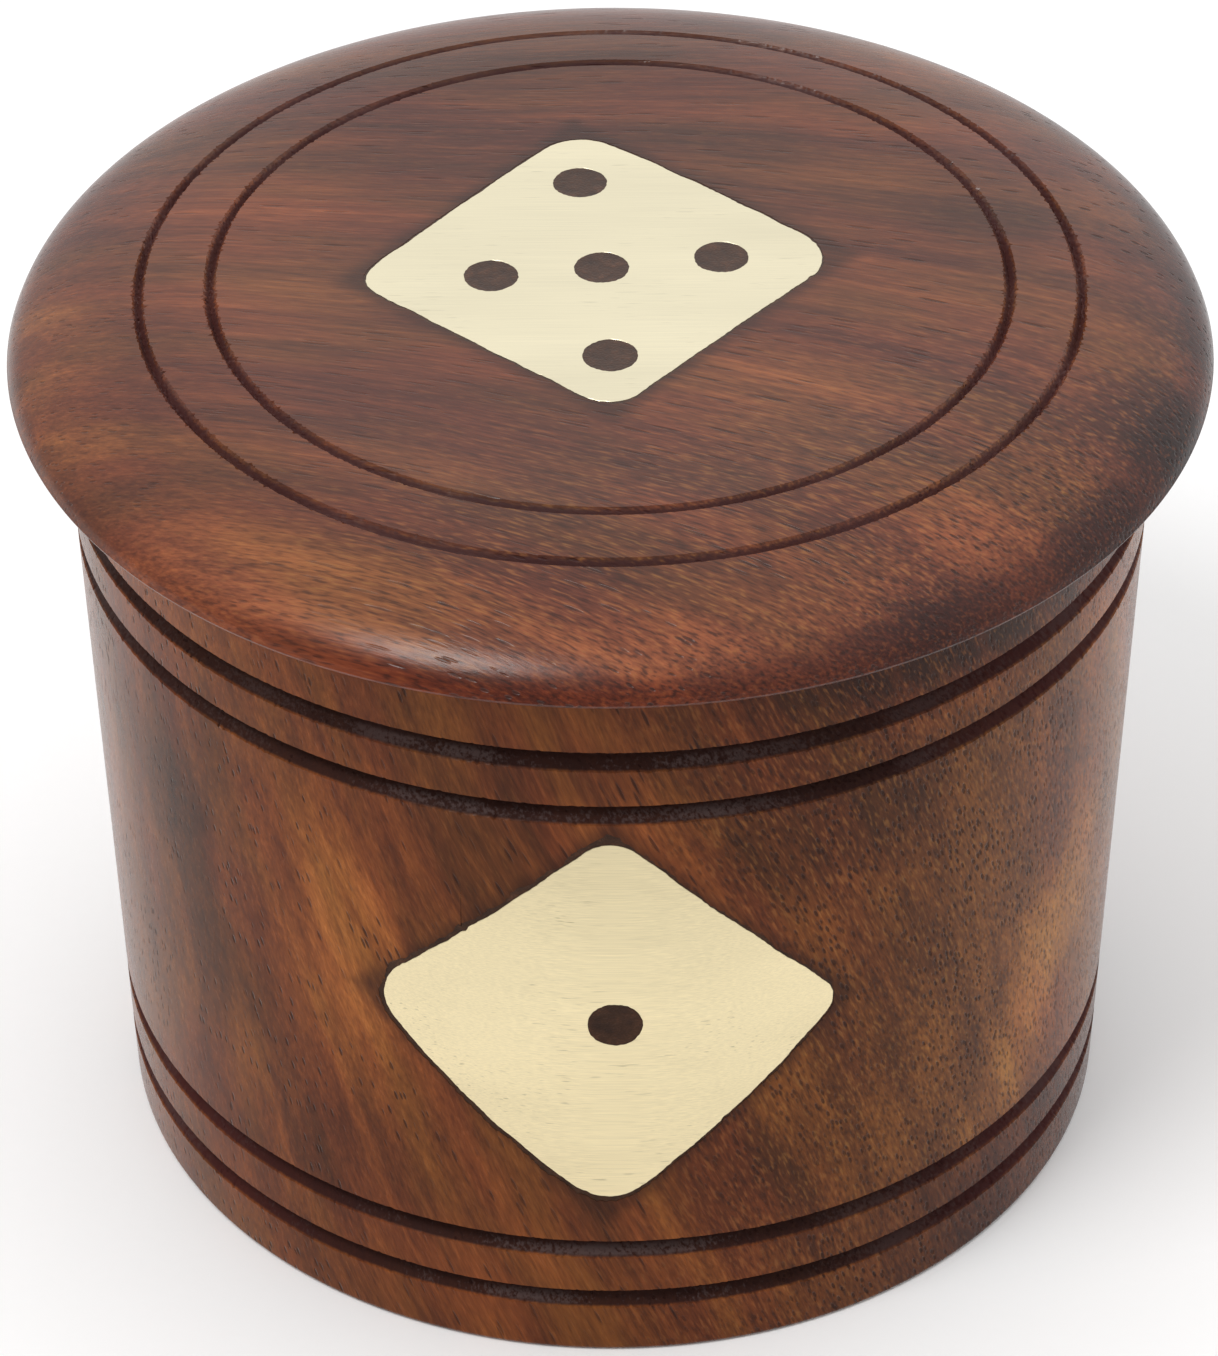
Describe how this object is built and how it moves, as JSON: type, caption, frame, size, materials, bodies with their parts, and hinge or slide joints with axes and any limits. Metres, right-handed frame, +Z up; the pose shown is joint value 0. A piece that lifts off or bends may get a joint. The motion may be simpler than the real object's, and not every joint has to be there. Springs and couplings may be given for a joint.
{
  "type": "dice cup",
  "caption": "Round turned hardwood dice cup with a loose overhanging lid, ring grooves, square brass inlays marked like dice, and a set of wooden dice inside.",
  "frame": {"origin": "centre of the cup's foot, on the surface that it stands on", "axes": "+Z up along the turning axis, -Y towards the inlay on the cup's wall"},
  "size_m": [0.0888, 0.0888, 0.072],
  "materials": {
    "cup_wood": "rosewood-coloured hardwood, satin lacquer",
    "lid_wood": "rosewood-coloured hardwood, satin lacquer",
    "die_wood": "rosewood-coloured hardwood, hand polished",
    "plate_brass": "fine horizontal brushing, clear lacquer",
    "pin_brass": "filed flush and polished",
    "dark_filler": "hard dark brown filler, sanded flush"
  },
  "bodies": {
    "cup": {"cup_body": "cup_wood", "front_inlay_plate": "plate_brass", "front_inlay_filler": "dark_filler", "front_pip": "dark_filler"},
    "lid": {"lid": "lid_wood", "lid_inlay_plate": "plate_brass", "lid_inlay_filler": "dark_filler", "lid_pip_centre": "dark_filler", "lid_pip_back": "dark_filler", "lid_pip_left": "dark_filler", "lid_pip_right": "dark_filler", "lid_pip_front": "dark_filler"},
    "die_1": {"die_1": "die_wood", "die_1_pips": "pin_brass"},
    "die_2": {"die_2": "die_wood", "die_2_pips": "pin_brass"},
    "die_3": {"die_3": "die_wood", "die_3_pips": "pin_brass"},
    "die_4": {"die_4": "die_wood", "die_4_pips": "pin_brass"},
    "die_5": {"die_5": "die_wood", "die_5_pips": "pin_brass"}
  },
  "joints": [
    {"name": "lid_lift", "type": "slide", "parent": "cup", "child": "lid", "axis": [0, 0, 1], "range_m": [0, 0.06]},
    {"name": "die_1_rise", "type": "slide", "parent": "cup", "child": "die_1", "axis": [0, 0, 1], "range_m": [0, 0.0365]},
    {"name": "die_2_rise", "type": "slide", "parent": "cup", "child": "die_2", "axis": [0, 0, 1], "range_m": [0, 0.0365]},
    {"name": "die_3_rise", "type": "slide", "parent": "cup", "child": "die_3", "axis": [0, 0, 1], "range_m": [0, 0.0365]},
    {"name": "die_4_rise", "type": "slide", "parent": "cup", "child": "die_4", "axis": [0, 0, 1], "range_m": [0, 0.0365]},
    {"name": "die_5_rise", "type": "slide", "parent": "cup", "child": "die_5", "axis": [0, 0, 1], "range_m": [0, 0.0365]}
  ]
}
